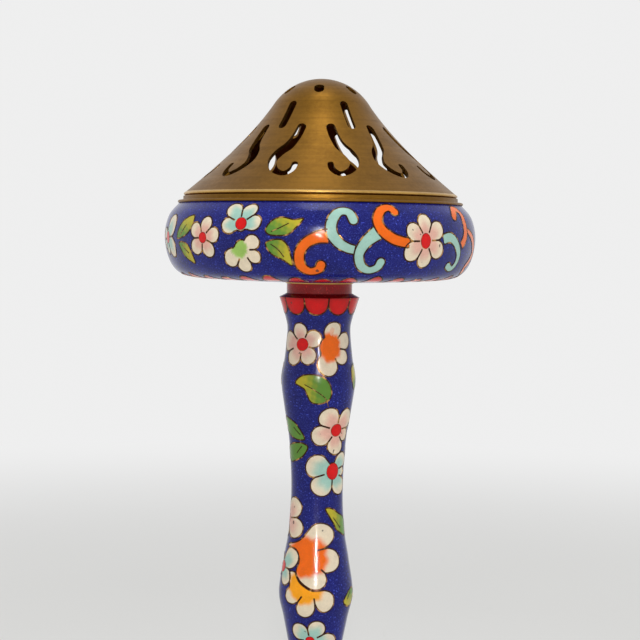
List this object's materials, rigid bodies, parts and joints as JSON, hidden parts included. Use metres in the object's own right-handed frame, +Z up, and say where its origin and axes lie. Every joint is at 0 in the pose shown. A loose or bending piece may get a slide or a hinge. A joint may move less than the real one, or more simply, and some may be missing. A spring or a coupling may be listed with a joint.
{
  "type": "incense burner",
  "caption": "Enamelled drum-shaped incense burner on a tall turned stem and flared foot, with a pierced bell-shaped brass lid.",
  "frame": {"origin": "centre of the foot ring, on the surface that the burner stands on", "axes": "+Z up along the axis of the stem, front of the lid's pattern towards -Y"},
  "size_m": [0.0816, 0.0816, 0.1977],
  "materials": {
    "turned_brass": "turned, golden",
    "aged_brass": "turned, aged golden brown",
    "copper": "raised copper, dull",
    "enamel": "glossy blue cloisonne enamel with gilt wires",
    "steel": "plain"
  },
  "bodies": {
    "stand": {"foot_ring": "turned_brass", "base_plate": "turned_brass", "foot_shell": "copper", "foot_enamel": "enamel", "foot_collar": "turned_brass", "stem_tube": "copper", "stem_enamel": "enamel", "neck_collar": "turned_brass", "bowl_shell": "copper", "bowl_enamel": "enamel", "mouth_ring": "aged_brass", "tie_rod": "steel", "bottom_nut": "steel", "bottom_washer": "steel", "top_washer": "steel", "top_nut": "steel"},
    "liner": {"ash_pan": "copper"},
    "lid": {"lid_dome": "aged_brass", "lid_rim_bead": "turned_brass", "lid_spigot": "turned_brass"}
  },
  "joints": [
    {"name": "lid_lift", "type": "slide", "parent": "stand", "child": "lid", "axis": [0, 0, 1], "range_m": [0, 0.06]},
    {"name": "liner_lift", "type": "slide", "parent": "stand", "child": "liner", "axis": [0, 0, 1], "range_m": [0, 0.03]}
  ],
  "couplings": [
    {"joint": "liner_lift", "follows": "lid_lift", "ratio": 0.5}
  ]
}
